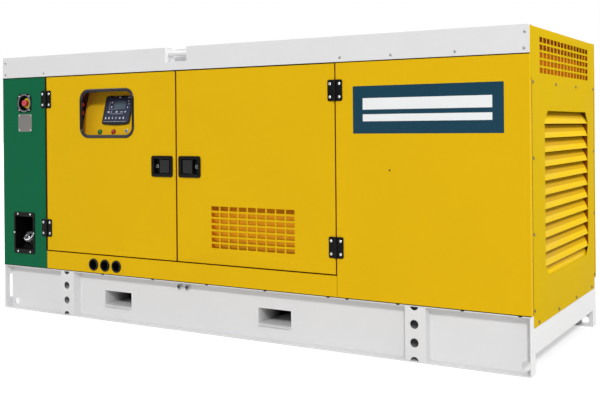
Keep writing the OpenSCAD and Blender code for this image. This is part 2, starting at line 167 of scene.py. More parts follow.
class GENSET_PG_console(bpy.types.PropertyGroup):
    """Sizes of the controller and the lamps."""

    face: FloatVectorProperty(
        name="Controller", description="Width and height of the controller", unit="LENGTH", size=2,
        default=(224 * MM, 185 * MM))
    sag: length("Bottom bow", "How far the controller's bottom edge bows down", 7 * MM)
    proud: length("Controller depth", "How far the controller stands off the console", 13 * MM)
    display: colour("Display", "Display's grey", "#4F6170")
    navy: colour("Navy", "Controller's front film", "#232A4A")


class GENSET_PG_stage(bpy.types.PropertyGroup):
    """Camera, lamps and floor."""

    eye: FloatVectorProperty(
        name="Camera", description="Where the camera stands", subtype="TRANSLATION", unit="LENGTH",
        default=(3.061, -4.907, 1.201))
    turn: FloatProperty(
        name="Turn", description="Camera's turn to the left", unit="ROTATION",
        default=math.radians(30.76))
    roll: FloatProperty(
        name="Roll", description="Camera's roll", unit="ROTATION", default=math.radians(-0.51))
    lens: FloatProperty(name="Lens", description="Focal length in millimetres", default=54.47)
    rise: FloatProperty(name="Rise", description="Vertical lens shift", default=-0.1233)
    ambient: FloatProperty(
        name="Ambient", description="Strength of the surrounding light", default=0.545)
    key: power("Key", "Large lamp over the front", 3020)
    side: power("Side", "Lamp at the louvred end", 520)
    top: power("Top", "Soft lamp over the left end", 110)
    floor_glow: FloatProperty(
        name="Floor glow", description="Light that lifts the floor to white", default=0.5)


SETTINGS = {"genset_" + group.__name__[10:]: group for group in (
    GENSET_PG_paint, GENSET_PG_fasteners, GENSET_PG_window, GENSET_PG_console, GENSET_PG_stage)}


def settings(group):
    """One group of settings of the open scene."""
    return getattr(bpy.context.scene, "genset_" + group)


# ---- Finishes ----

SPECULAR = "Specular IOR Level"
METAL = "Metallic"
# Finishes whose pattern is drawn out along X, and by how much.
STREAKS = {"plate_aluminium": (0.08, 1, 1)}
# Most of a noise texture's values lie between these two.
NOISE_LOW, NOISE_HIGH = 0.35, 0.65

# Each finish: its material slot; its colour, or the setting that holds it; lowest and highest roughness;
# how far its tone spreads; in millimetres the size of the tone's patches, the relief's grain and the
# relief's height; and the shader's other values.
FINISHES = {
    # Polyester powder coat, sprayed and baked: even satin with a slight orange peel.
    "yellow_powder_coat": (
        "yellow_paint", "paint.yellow", 0.46, 0.56, 0.04, 450, 5, 0.02, {SPECULAR: 0.03}),
    # The same coat on the right end, with painted light: a touch greener and darker, for how the end is lit.
    "end_powder_coat": (
        "yellow_paint", "paint.end_yellow", 0.5, 0.6, 0.04, 450, 5, 0.02, {SPECULAR: 0.01}),
    # The same coat on the louvre blades' lips, with painted light: fuller and brighter, as the lit lips look.
    "louvre_powder_coat": ("yellow_paint", "#E6C008", 0.42, 0.5, 0.04, 450, 5, 0.02, {SPECULAR: 0.03}),
    # The same on the blades' slopes, with painted shade: ochre, as the slopes look in the shade of the blade
    # above.
    "slope_powder_coat": ("yellow_paint", "#CEA006", 0.5, 0.6, 0.04, 450, 5, 0.02, {SPECULAR: 0.03}),
    # The same on the console, with painted light: cleaner and brighter, lifting the shade inside the canopy.
    "console_powder_coat": ("yellow_paint", "#F2C016", 0.44, 0.52, 0.04, 450, 5, 0.02, {SPECULAR: 0.03}),
    # Painted shade inside the air hood: the yellow coat dull orange, as it looks in shade behind the door's grid.
    "sheltered_coat": ("yellow_paint", "#E8A01E", 0.6, 0.7, 0.22, 40, 5, 0.02, {SPECULAR: 0.03}),
    # Painted shade on the right header's lining: dull orange-brown, as yellow looks in shade behind the grid.
    "oxide_primer": ("yellow_paint", "#CC6E18", 0.6, 0.7, 0.15, 60, 5, 0.02, {SPECULAR: 0.03}),
    # Painted shade inside the hoisting posts and in the drain bores: flat, dull grey.
    "grey_primer": ("white_paint", "#8A8A8C", 0.6, 0.7, 0.1, 60, 5, 0.02, {SPECULAR: 0.1}),
    # Painted shade in the seams and on the blades' cheeks: a dark red-brown line where the gaps lie in shade.
    "edge_primer": ("yellow_paint", "#7C3E12", 0.6, 0.7, 0.1, 60, 5, 0.02, {SPECULAR: 0.05}),
    # Sponge rubber in the seams: matt black that swallows the light.
    "seam_rubber": ("black_rubber", "#060505", 0.7, 0.8, 0.1, 40, 5, 0.02, {SPECULAR: 0.05}),
    # The powder coat in green: even satin.
    "green_powder_coat": (
        "green_paint", "paint.green", 0.44, 0.54, 0.04, 450, 5, 0.02, {SPECULAR: 0.04}),
    # Alkyd enamel on rolled steel: semi-matt, with the steel's faint waviness under it.
    "white_enamel": ("white_paint", "paint.white", 0.42, 0.56, 0.025, 260, 9, 0.05, {SPECULAR: 0.25}),
    # Glass-filled nylon, moulded: fine spark-eroded grain, which scatters the highlights.
    "black_nylon": ("black_plastic", "paint.black", 0.36, 0.46, 0.12, 60, 2.5, 0.03, {SPECULAR: 0.13}),
    # Polished ABS: dark and smooth, with soft highlights along its edges.
    "black_plastic_gloss": ("black_plastic", "#1C1A1A", 0.24, 0.32, 0.08, 50, 4, 0.01, {SPECULAR: 0.28}),
    # Extruded EPDM rubber: slightly bluish black, smooth and glossy from the die.
    "epdm_rubber": (
        "black_rubber", "#07080C", 0.15, 0.2, 0.1, 80, 3, 0.01,
        {SPECULAR: 0.45, "Specular Tint": (0.85, 0.84, 1, 1)}),
    # Moulded nitrile rubber of the cable outlets: deep black with a soft sheen on its lips.
    "moulded_rubber": ("black_rubber", "#06070A", 0.18, 0.26, 0.1, 60, 3, 0.01, {SPECULAR: 0.2}),
    # Bright zinc plating on steel: pale metal with slightly cloudy reflections.
    "zinc_plate": ("zinc", "#C9CCD0", 0.18, 0.3, 0.06, 12, 1.5, 0.01, {METAL: 1}),
    # Chromium over nickel: the brightest metal here, with crisp reflections.
    "chrome_plate": ("zinc", "#EDEFF2", 0.12, 0.2, 0.04, 12, 1.5, 0.01, {METAL: 0.85}),
    # Nickel plating worn dull by hands and keys: grey metal with soft, cloudy reflections.
    "worn_nickel": ("zinc", "#9A9A9A", 0.34, 0.46, 0.08, 10, 1.5, 0.01, {METAL: 1}),
    # Zinc-plated bolts that have gone dull outdoors: brownish grey with hardly any shine.
    "weathered_zinc": ("zinc", "#6F6448", 0.5, 0.62, 0.15, 14, 2, 0.02, {METAL: 0.35}),
    # Hot-dip galvanised steel: dull grey metal with a visible spangle.
    "galvanised_pipe": ("zinc", "#CDD0D2", 0.42, 0.58, 0.08, 7, 2, 0.03, {METAL: 0.35}),
    # Anodised aluminium sheet, brushed along its length: fine streaks that draw out the shine.
    "plate_aluminium": ("plate_metal", "#82807C", 0.42, 0.54, 0.06, 30, 2, 0.01, {METAL: 0.55}),
    # Bare rim of the same sheet, where the grey print ends: brighter metal.
    "plate_border": ("plate_metal", "#94928E", 0.38, 0.48, 0.05, 30, 2, 0.01, {METAL: 0.5}),
    # Moulded polycarbonate, polished: clean red with a small bright highlight.
    "stop_red": ("red_plastic", "#CE1A32", 0.26, 0.34, 0.05, 20, 3, 0.01, {SPECULAR: 0.8}),
    # Moulded polyamide with a fine grain: light grey and dull.
    "grey_polyamide": ("grey_plastic", "#6C7073", 0.4, 0.5, 0.05, 40, 2, 0.03, {}),
    # Yellow printed aluminium disc under the stop button, satin.
    "legend_yellow": ("yellow_paint", "#E3BE10", 0.38, 0.46, 0.03, 20, 5, 0.02, {}),
    # Polyester membrane on the controller, finely textured: dark blue, half matt.
    "navy_film": ("navy_plastic", "console.navy", 0.34, 0.42, 0.1, 50, 1.5, 0.01, {}),
    # Unlit liquid-crystal display behind a clear film: grey-blue and faintly uneven.
    "display_grey": ("navy_plastic", "console.display", 0.16, 0.22, 0.1, 60, 5, 0.02, {}),
    # Screen print on the controller's film: flat white.
    "printed_white": ("white_paint", "#F4F5FA", 0.45, 0.55, 0.03, 10, 5, 0.02, {}),
    # Green polycarbonate lamp lens, translucent: lighter where the dome turns to the light.
    "green_polycarbonate": (
        "green_lens", "#137A34", 0.16, 0.24, 0.1, 12, 5, 0.02,
        {"Subsurface Weight": 0.2, "Subsurface Scale": 4 * MM}),
    # Red polycarbonate lamp lens, translucent: the dome glows a little at its edge.
    "red_polycarbonate": (
        "red_plastic", "#B3202E", 0.16, 0.24, 0.1, 12, 5, 0.02,
        {"Subsurface Weight": 0.2, "Subsurface Scale": 4 * MM}),
    # Red-orange heat-shrink sleeve on a copper bar, satin.
    "red_sleeve": ("red_plastic", "#E84E14", 0.4, 0.5, 0.1, 30, 5, 0.02, {}),
    # Paper-filled phenolic board, pressed: dark red-brown and half matt.
    "phenolic_board": ("black_plastic", "#561E12", 0.45, 0.55, 0.15, 40, 5, 0.02, {SPECULAR: 0.2}),
    # Orange-red acetal collar behind the stop button's head, satin.
    "stop_collar": ("red_plastic", "#D2401C", 0.35, 0.45, 0.06, 20, 5, 0.02, {}),
    # Cast vinyl film, cut and laid on the panel: even colour, smoother than the coat round it.
    "teal_film": ("navy_plastic", "paint.teal", 0.28, 0.34, 0.03, 300, 14, 0.01, {SPECULAR: 0.18}),
    # The same film in white: flat and even.
    "white_film": ("white_paint", "#F2F4F5", 0.3, 0.36, 0.015, 300, 14, 0.01, {SPECULAR: 0.35}),
    # Clear polycarbonate sheet: nearly invisible face on, with a faint smoky tint.
    "clear_polycarbonate": ("clear_pane", "#3A4448", 0.04, 0.07, 0.02, 200, 60, 0.02, {"Alpha": 0.025}),
}


def add(material, kind, inputs=None, **choices):
    """Adds one node; an input is a value, a node's output, or a node that gives its first output."""
    tree = material.node_tree
    node = tree.nodes.new("ShaderNode" + kind)
    for name, value in choices.items():
        setattr(node, name, value)
    for socket, value in (inputs or {}).items():
        if isinstance(value, bpy.types.Node):
            value = value.outputs[0]
        if isinstance(value, bpy.types.NodeSocket):
            tree.links.new(value, node.inputs[socket])
        else:
            node.inputs[socket].default_value = value
    return node


def blank(name, kind=bpy.data.materials):
    """A material, or a world, with an empty node tree."""
    made = kind.new(name)
    made.use_nodes = True
    made.node_tree.nodes.clear()
    return made


def coated(name, base, low_gloss, high_gloss, spread, drift, grain, depth, others):
    """A tone that drifts slowly, a fine relief and a gloss that changes with the tone."""
    material = blank(name)
    place = add(material, "TexCoord").outputs["Object"]
    drawn = add(material, "Mapping", {"Vector": place, "Scale": STREAKS.get(name, (1, 1, 1))})
    cloud = add(material, "TexNoise", {"Vector": drawn, "Scale": 1 / (drift * MM), "Detail": 4})
    fine = add(material, "TexNoise", {"Vector": drawn, "Scale": 1 / (grain * MM), "Detail": 2})
    dark, light = [(*[min(1, part * share) for part in base], 1) for share in (1 - spread, 1 + spread)]
    tone = add(material, "Mix", {0: cloud, 6: dark, 7: light}, data_type="RGBA").outputs[2]
    rough = add(material, "MapRange", {
        "Value": cloud, "From Min": NOISE_LOW, "From Max": NOISE_HIGH,
        "To Min": low_gloss, "To Max": high_gloss})
    relief = add(material, "Bump", {"Height": fine, "Distance": depth * MM, "Strength": 1})
    surface = add(material, "BsdfPrincipled", {
        "Base Color": tone, "Roughness": rough, "Normal": relief, **others})
    add(material, "OutputMaterial", {"Surface": surface})
    return material


def pocket_enamel(name):
    """The base's enamel inside a fork pocket, with painted shade: it darkens with the depth, down to near black.
    """
    material = blank(name)
    ragged_by = 60 * MM
    place = add(material, "TexCoord").outputs["Object"]
    across = add(material, "SeparateXYZ", {0: place}).outputs["Y"]
    depth = add(material, "Math", {0: across}, operation="ABSOLUTE")
    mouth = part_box("fork_pockets")[1].y
    cloud = add(material, "TexNoise", {"Vector": place, "Scale": 1 / ragged_by, "Detail": 4})
    ragged = add(material, "Math", {0: cloud, 1: ragged_by, 2: depth}, operation="MULTIPLY_ADD")
    lit_share = add(material, "MapRange", {
        "Value": ragged, "From Min": mouth - settings("paint").pocket_paint,
        "From Max": mouth + 20 * MM})
    # Painted shade: near black deep inside, white at the mouth.
    tone = add(material, "Mix", {
        0: lit_share, 6: (*linear("#0B0A0A"), 1), 7: (*settings("paint").white, 1)},
        data_type="RGBA").outputs[2]
    surface = add(material, "BsdfPrincipled", {"Base Color": tone, "Roughness": 0.6, SPECULAR: 0.15})
    add(material, "OutputMaterial", {"Surface": surface})
    return material


def finish(name):
    """The material of a finish, made once."""
    if name in bpy.data.materials:
        return bpy.data.materials[name]
    if name == "pocket_enamel":
        return pocket_enamel(name)
    code, *values = FINISHES[name][1:]
    if code.startswith("#"):
        return coated(name, linear(code), *values)
    group, hue = code.split(".")
    return coated(name, getattr(settings(group), hue), *values)


# ---- Mesh tools ----


def facing(point, direction):
    """Places a shape drawn about the origin, standing on Z, at a point and towards a direction."""
    return Matrix.Translation(point) @ Vector(direction).to_track_quat("Z", "Y").to_matrix().to_4x4()


def on_front(x, z, proud=0.0):
    """Places a shape on the front panels."""
    return facing((x, FRONT_Y - proud, z), FRONT)


def round_edges(bm, radius, steps=2, least=35, where=None):
    """Rounds the edges that turn by more than least degrees, where asked, and shades curves smooth."""
    for face in bm.faces:
        turns = [edge.calc_face_angle(0) for edge in face.edges if edge.is_manifold]
        curved = any(FLAT < turn < BEND for turn in turns)
        face.smooth = face.smooth or (curved and face.calc_area() < LARGE_SHEET)
    sharp = [edge for edge in bm.edges if edge.is_manifold
             and edge.calc_face_angle(0) > math.radians(least) and (where is None or where(edge))]
    if not sharp:
        return
    made = bmesh.ops.bevel(
        bm, geom=sharp, offset=radius, segments=steps, profile=0.5,
        affect="EDGES", clamp_overlap=True, material=-1)
    for face in made["faces"]:
        face.smooth = True


def box(bm, low, high, radius=0.0, place=Matrix()):
    """A box between two corners, with its edges rounded where asked, set in place."""
    shape = bmesh.new()
    bmesh.ops.create_cube(shape, size=1)
    size = Vector(high) - Vector(low)
    bmesh.ops.scale(shape, vec=size, verts=shape.verts)
    bmesh.ops.translate(shape, vec=Vector(low) + size / 2, verts=shape.verts)
    if radius:
        round_edges(shape, radius)
    stamp(bm, shape, [place])


def turn_outwards(bm):
    """Recalculates the normals of a closed shape."""
    bmesh.ops.recalc_face_normals(bm, faces=bm.faces)


def turned(profile, steps=24):
    """A shape spun about Z from its outline of (radius, height) points."""
    shape = bmesh.new()
    verts = [shape.verts.new((r, 0, h)) for r, h in profile]
    edges = [shape.edges.new(pair) for pair in zip(verts, verts[1:])]
    bmesh.ops.spin(shape, geom=verts + edges, axis=UP, angle=math.tau, steps=steps, use_merge=True)
    bmesh.ops.remove_doubles(shape, verts=shape.verts, dist=WELD)
    turn_outwards(shape)
    for face in shape.faces:
        face.smooth = True
    for edge in shape.edges:
        edge.smooth = edge.calc_face_angle(0) < CREASE
    return shape


def stamp(bm, shape, places, index=None):
    """Adds a copy of a shape at each place, and lets the shape go; index picks one of the finishes."""
    if index is not None:
        for face in shape.faces:
            face.material_index = index
    mesh = bpy.data.meshes.new("shape")
    shape.to_mesh(mesh)
    shape.free()
    for place in places:
        start = len(bm.verts)
        bm.from_mesh(mesh)
        bm.verts.ensure_lookup_table()
        bmesh.ops.transform(bm, matrix=place, verts=bm.verts[start:])
    bpy.data.meshes.remove(mesh)


def lathe(bm, points, places, steps=32, index=None):
    """Adds a shape spun from its outline in millimetres at each place."""
    stamp(bm, turned([(radius * MM, height * MM) for radius, height in points], steps), places, index)


def outline(width, height, radius, steps=6):
    """A flat face about the origin with round corners; returns its bmesh and the face."""
    shape = bmesh.new()
    bmesh.ops.create_grid(shape, x_segments=1, y_segments=1, size=0.5)
    bmesh.ops.scale(shape, vec=(width, height, 1), verts=shape.verts)
    if radius:
        bmesh.ops.bevel(shape, geom=shape.verts[:], offset=radius, segments=steps,
                        profile=0.5, affect="VERTICES", material=-1)
    shape.normal_update()
    return shape, shape.faces[:][0]


def rings(shape, face, steps):
    """Draws a face inwards and up in steps, with a smooth ring of faces for each."""
    for inward, rise in steps:
        ring = bmesh.ops.inset_region(shape, faces=[face], thickness=max(inward, WELD), depth=0,
                                      use_even_offset=True, use_boundary=True)["faces"]
        bmesh.ops.translate(shape, vec=face.normal * rise, verts=face.verts[:])
        for item in ring:
            item.smooth = True


def raised(shape, face, rise):
    """Extrudes a face of a shape upwards; returns the lid."""
    top = bmesh.ops.extrude_face_region(shape, geom=[face])["geom"]
    lid = next(item for item in top if isinstance(item, bmesh.types.BMFace))
    bmesh.ops.translate(shape, vec=(0, 0, rise), verts=lid.verts[:])
    lid.normal_update()
    return lid


def slab(width, height, radius, depth, edge=1.0 * MM, steps=6):
    """A plate on Z = 0 with round corners and a softened front edge."""
    shape, face = outline(width, height, radius, steps)
    lid = raised(shape, face, depth - edge)
    rings(shape, lid, [(0.3 * edge, 0.7 * edge), (0.7 * edge, 0.3 * edge)])
    turn_outwards(shape)
    return shape


def dome_screw(radius):
    """A round-headed screw with a socket in its top, in shares of its radius."""
    points = [(0, 0), (1, 0), (1, 0.12), (0.94, 0.3), (0.74, 0.5), (0.44, 0.6), (0.38, 0.4), (0, 0.4)]
    return turned([(radius * r, radius * h) for r, h in points], 16)


def hex_bolt(radius):
    """A hexagon bolt head on its washer, in shares of the washer's radius."""
    washer = [(0, 0), (1, 0), (1, 0.14), (0.95, 0.18), (0, 0.18)]
    shape = turned([(radius * r, radius * h) for r, h in washer], 20)
    head = bmesh.new()
    bmesh.ops.create_cone(head, cap_ends=True, segments=6, radius1=0.72 * radius, radius2=0.72 * radius,
                          depth=0.5 * radius)
    round_edges(head, 0.06 * radius, steps=1, least=50)
    stamp(shape, head, [Matrix.Translation((0, 0, 0.43 * radius))])
    return shape


def linked(name, data):
    """A new object in the scene."""
    made = bpy.data.objects.new(name, data)
    bpy.context.scene.collection.objects.link(made)
    return made


def put_in_order(bm):
    """Sorts a mesh's points along a slanted line, then its edges and faces by their points' numbers.

    Their first order changes from run to run.
    """

    def numbers(part):
        return sorted(vert.index for vert in part.verts)

    for parts, rank in (
            (bm.verts, lambda vert: vert.co.dot(SLANT)), (bm.edges, numbers), (bm.faces, numbers)):
        for index, part in enumerate(sorted(parts, key=rank)):
            part.index = index
        parts.sort()


def mesh_object(name, bm, materials):
    """Turns a mesh under work into an object with its materials."""
    put_in_order(bm)
    mesh = bpy.data.meshes.new(name)
    bm.to_mesh(mesh)
    bm.free()
    for material in materials:
        mesh.materials.append(material)
    return linked(name, mesh)


def piece(bm, name, *finishes, body="enclosure", replaces=(), slot=None):
    """Makes a mesh an object that rides on a body, with its finishes and the nodes it stands for."""
    made = mesh_object(name, bm, [finish(build) for build in finishes])
    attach(made, body)
    if replaces:
        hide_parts(*replaces)


def joined(node):
    """A merged copy of a CAD node's mesh, with its flat faces made whole."""
    bm = bmesh.new()
    bm.from_mesh(frame["nodes"][node].data)
    bmesh.ops.remove_doubles(bm, verts=bm.verts, dist=WELD)
    bmesh.ops.dissolve_limit(bm, angle_limit=math.radians(0.5), verts=bm.verts, edges=bm.edges)
    for face in bm.faces:
        face.smooth = False
    return bm


def finished(bm, node, *finishes):
    """Makes a reworked copy of a CAD node's mesh the piece that stands for it."""
    piece(bm, node + "_finished", *finishes, body=BODY_OF[node], replaces=[node], slot=SLOT_OF[node])


def softened(node, build, radius, steps=2, where=None):
    """Stands for a CAD node with a copy whose folds and cut edges are rounded."""
    bm = joined(node)
    round_edges(bm, radius, steps, where=where)
    finished(bm, node, build)


def fasten(name, build, shape, places, body="enclosure"):
    """One piece of like fasteners: a copy of the shape at each place."""
    bm = bmesh.new()
    stamp(bm, shape, places)
    piece(bm, name, build, body=body)


def four(centre, side, rise, proud):
    """Places on the front, one towards each corner from a middle point."""
    return [on_front(centre.x + i * side, centre.z + j * rise, proud) for i in (-1, 1) for j in (-1, 1)]


def repaint(node, build):
    """Gives a CAD node that keeps its own mesh a finish."""
    materials = frame["nodes"][node].data.materials
    materials.clear()
    materials.append(finish(build))


def assign(bm, choose):
    """Gives each face the finish whose number choose() returns for the face's middle and normal."""
    for face in bm.faces:
        face.material_index = int(choose(face.calc_center_median(), face.normal))


def in_seam(spot, normal):
    """True for the sheets' edges in the seams round the doors, which get painted shade."""
    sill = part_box("sill_panels")[1].z
    upright = abs(normal.x) > 0.9 and spot.z > sill - 10 * MM and min(
        abs(spot.x - seam) for seam in (LEFT_SEAM, RIGHT_SEAM, MIDDLE_SEAM)) < 12 * MM
    level = abs(normal.z) > 0.9 and abs(spot.z - sill) < 12 * MM and abs(spot.y) > BACK_Y - 40 * MM
    return upright or level


# ---- Pieces ----


def weld_bead(bm, start, end, width):
    """Lays a bead of weld from one point to another, with ripples 0.7 of its width apart."""
    start, end = Vector(start), Vector(end)
    reach = (end - start).length
    count = max(2, round(reach / (0.7 * width)))
    radii = (0.5 * width, 0.42 * width)
    profile = [(radii[i % 2], reach * i / count) for i in range(count + 1)]
    stamp(bm, turned([(0, 0), *profile, (0, reach)], 8), [facing(start, end - start)])


class GENSET_OT_base(bpy.types.Operator):
    """Finishes the base: rounded channel edges, fork pockets, weld beads and packers"""

    bl_idname = "genset.base"
    bl_label = "Base"

    def execute(self, context):
        fold = settings("paint").fold
        for node in ("base_sides", "base_ends", "hoisting_posts"):
            softened(node, "white_enamel", fold)
        self.pockets(fold)
        self.post_linings()
        self.welds()
        self.packers()
        repaint("base_deck", "white_enamel")
        self.drains()
        return {"FINISHED"}

    def drains(self):
        """Galvanised outside, and painted shade, dull grey, in the bore."""
        bm = joined("drain_stubs")
        low, high, centre = around("drain_stubs")
        radius = centre.z - low.z

        def in_bore(spot, normal):
            axis = min(low.x + radius, high.x - radius, key=lambda x: abs(x - spot.x))
            outwards = Vector((spot.x - axis, 0, spot.z - centre.z))
            return normal.dot(outwards) < -WELD or outwards.length < radius / 2

        # The bore gets painted shade, finish 1.
        assign(bm, in_bore)
        finished(bm, "drain_stubs", "galvanised_pipe", "grey_primer")

    def post_linings(self):
        """A thin sheet of painted shade on the web inside each hoisting post."""
        low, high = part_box("hoisting_posts")
        margin = 6 * MM
        bm = bmesh.new()
        for side in (-1, 1):
            near, far = sorted((side * WEB_Y, side * (WEB_Y + 1 * MM)))
            for start in (low.x, high.x - POST_WIDTH):
                box(bm, (start + margin, near, low.z + margin),
                    (start + POST_WIDTH - margin, far, high.z - margin))
        piece(bm, "post_linings", "grey_primer")

    def pockets(self, fold):
        """Tubes with enamel outside and painted shade inside, darker with depth."""
        bm = joined("fork_pockets")
        round_edges(bm, fold)
        low, high = min(POCKETS, key=lambda pocket: pocket[0].x)
        half = (high - low) / 2 + Vector((6 * MM, 0, 6 * MM))

        def thinned(spot, normal):
            offset = min((spot - (low + high) / 2 for low, high in POCKETS), key=lambda way: abs(way.x))
            inside = abs(offset.x) < half.x and abs(offset.z) < half.z and normal.dot(offset) < 0
            return inside and normal.z < 0.5

        # Inner walls get painted shade, finish 1; floors stay enamel.
        assign(bm, thinned)
        finished(bm, "fork_pockets", "white_enamel", "pocket_enamel")

    def welds(self):
        """Beads beside the posts and round the pockets' mouths, at the front and the back."""
        width = settings("paint").weld
        low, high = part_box("hoisting_posts")
        bm = bmesh.new()
        for y in (-WEB_Y, WEB_Y):
            for x in (low.x, low.x + POST_WIDTH, high.x - POST_WIDTH, high.x):
                weld_bead(bm, (x, y, low.z + 2 * MM), (x, y, high.z - 2 * MM), width)
            for near, far in POCKETS:
                left, right = near.x - 9 * MM, far.x + 9 * MM
                bottom, top = near.z - 10 * MM, far.z + 8 * MM
                corners = [(left, y, bottom), (right, y, bottom), (right, y, top), (left, y, top)]
                for start, end in zip(corners, corners[1:] + corners[:1]):
                    weld_bead(bm, start, end, 0.8 * width)
        piece(bm, "base_welds", "white_enamel")

    def packers(self):
        """Ends of the rubber packers that the canopy stands on."""
        z = BASE_Z - 2 * MM
        fasten("canopy_packers", "seam_rubber", slab(19 * MM, 5 * MM, 1.5 * MM, 1.2 * MM, 0.4 * MM, 2), [
            place for x in (*[-0.913 + 0.403 * i for i in range(5)], 0.813, 1.107, 1.454, 1.744)
            for place in (on_front(x, z), facing((x, BACK_Y, z), BACK))])


class GENSET_OT_canopy(bpy.types.Operator):
    """Finishes the canopy's fixed sheets"""

    bl_idname = "genset.canopy"
    bl_label = "Canopy"

    def execute(self, context):
        fold = settings("paint").fold
        softened("roof_panel", "yellow_powder_coat", fold)
        for node, build in (
                ("fixed_panels", "yellow_powder_coat"), ("sill_panels", "yellow_powder_coat"),
                ("green_panels", "green_powder_coat")):
            bm = joined(node)
            # Seam edges get painted shade, finish 1.
            assign(bm, in_seam)
            round_edges(bm, fold)
            finished(bm, node, build, "edge_primer")
        # The right end's coat carries painted light.
        for side, build in (("right", "end_powder_coat"), ("left", "green_powder_coat")):
            for node in (f"{side}_end_header", f"{side}_end_panel"):
                softened(node, build, fold, where=lambda edge: any(
                    abs(vert.co.z - END_SEAM) > WELD for vert in edge.verts))
        self.blades()
        softened("left_louvres", "green_powder_coat", 0.8 * MM)
        for node in ("lifting_pockets", "lifting_bars"):
            softened(node, "white_enamel", fold)
        self.rails(fold)
        self.linings()
        self.seals()
        for node in ("corner_posts", "door_frames", "console_stand"):
            repaint(node, "yellow_powder_coat")
        return {"FINISHED"}

    def blades(self):
        """The right end's blades: lips in painted light, slopes and cheeks in painted shade."""
        bm = joined("right_louvres")
        # Faces: 0 lips in painted light, 1 slopes in painted shade, 2 cheeks in painted shade.
        assign(bm, lambda spot, normal: 2 if abs(normal.y) > 0.9 else normal.x > 0.5 and normal.z > 0.41)
        round_edges(bm, 0.8 * MM)
        finished(bm, "right_louvres", "louvre_powder_coat", "slope_powder_coat", "edge_primer")

    def linings(self):
        """Folded sheets that close the air way behind the punched grids of the end headers."""
        # The right lining's finish is painted shade.
        for side, name, build in ((1, "right", "oxide_primer"), (-1, "left", "green_powder_coat")):
            bm = bmesh.new()
            near, far = sorted((side * (END_X - 5 * MM), side * (END_X - 62 * MM)))
            box(bm, (near, -0.52, 1.432), (far, 0.52, 1.650))
            outer = [face for face in bm.faces if face.normal.x * side > 0.5]
            bmesh.ops.delete(bm, geom=outer, context="FACES")
            bmesh.ops.reverse_faces(bm, faces=bm.faces[:])
            bmesh.ops.solidify(bm, geom=bm.faces[:], thickness=-1.5 * MM)
            turn_outwards(bm)
            piece(bm, f"{name}_header_lining", build)

    def seals(self):
        """Black rubber under the rails, on the base, beside the left door and at the ends' sheets."""
        bm = bmesh.new()
        proud, hinge_gap = 0.5 * MM, 60 * MM
        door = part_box("front_left_door")[1]
        heights = [box_end.z for box_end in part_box("hinges_left_door")]
        breaks = [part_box("front_left_door")[0].z, heights[0], heights[0] + 2 * hinge_gap,
                  heights[1] - 2 * hinge_gap, heights[1], door.z]
        for side in (-1, 1):
            near, far = sorted((side * BACK_Y, side * (BACK_Y + proud)))
            for low_z, high_z in ((RAIL_Z - 5 * MM, RAIL_Z), (BASE_Z, BASE_Z + 4 * MM)):
                box(bm, (-END_X, near, low_z), (END_X, far, high_z))
            for start, end in zip(breaks[::2], breaks[1::2]):
                box(bm, (LEFT_SEAM - 10 * MM, near, start), (LEFT_SEAM - 3 * MM, far, end))
            for end_side in (-1, 1):
                inner, outer = sorted((end_side * END_X, end_side * (END_X + proud)))
                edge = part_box("right_end_panel")[1].y
                strip = sorted((side * (edge - 1 * MM), side * (edge + 3.5 * MM)))
                box(bm, (inner, strip[0], BASE_Z + 4 * MM), (outer, strip[1], END_SEAM - 3 * MM))
        piece(bm, "canopy_seals", "seam_rubber")

    def rails(self, fold):
        """White outside, and the canopy's yellow on the faces turned to its inside."""
        bm = joined("roof_rails")
        round_edges(bm, fold)
        inset = 6 * MM
        assign(bm, lambda spot, normal: normal.y * spot.y < -0.5 * abs(spot.y)
               and spot.z < TOP_Z - inset or normal.z < -0.5 and abs(spot.y) < BACK_Y - inset)
        finished(bm, "roof_rails", "white_enamel", "yellow_powder_coat")


class GENSET_OT_doors(bpy.types.Operator):
    """Finishes the door leaves and the hood"""

    bl_idname = "genset.doors"
    bl_label = "Doors"

    def execute(self, context):
        for node in ("front_left_door", "front_right_door", "back_doors"):
            bm = joined(node)
            # Seam edges get painted shade, finish 1.
            assign(bm, in_seam)
            round_edges(bm, settings("paint").door_fold, steps=3, where=self.outer_fold)
            round_edges(bm, 1.2 * MM)
            finished(bm, node, "yellow_powder_coat", "edge_primer")
        # The hood's inside is painted shade.
        softened("vent_hood", "sheltered_coat", 0.8 * MM)
        return {"FINISHED"}

    def outer_fold(self, edge):
        """True for the long edges round a door's outer face."""
        outside = all(abs(abs(vert.co.y) - BACK_Y) < WELD for vert in edge.verts)
        return outside and edge.calc_length() > 0.9


class GENSET_OT_hinges(bpy.types.Operator):
    """Finishes the hinges and puts in their screws"""

    bl_idname = "genset.hinges"
    bl_label = "Hinges"

    def execute(self, context):
        for node in ("hinges_fixed", "hinges_left_door", "hinges_right_door", "back_door_fittings"):
            softened(node, "black_nylon", 1.5 * MM)
        low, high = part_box("hinges_left_door")
        half, across, rise, plate = 57 * MM, 28 * MM, 35 * MM, 5 * MM
        heights = [z + step for z in (low.z + half, high.z - half) for step in (-rise, rise)]
        columns = {"enclosure": (LEFT_SEAM - across, RIGHT_SEAM + across),
                   "door_left": [LEFT_SEAM + across], "door_right": [RIGHT_SEAM - across]}
        radius = settings("fasteners").hinge
        for body, places in columns.items():
            fasten(f"hinge_screws_{body}", "zinc_plate", dome_screw(radius), [
                on_front(x, z, plate) for x in places for z in heights], body)
        fasten("back_hinge_screws", "zinc_plate", dome_screw(radius), [
            facing((seam + side * across, BACK_Y + plate, z), BACK)
            for seam in (LEFT_SEAM, RIGHT_SEAM) for side in (-1, 1) for z in heights])
        return {"FINISHED"}


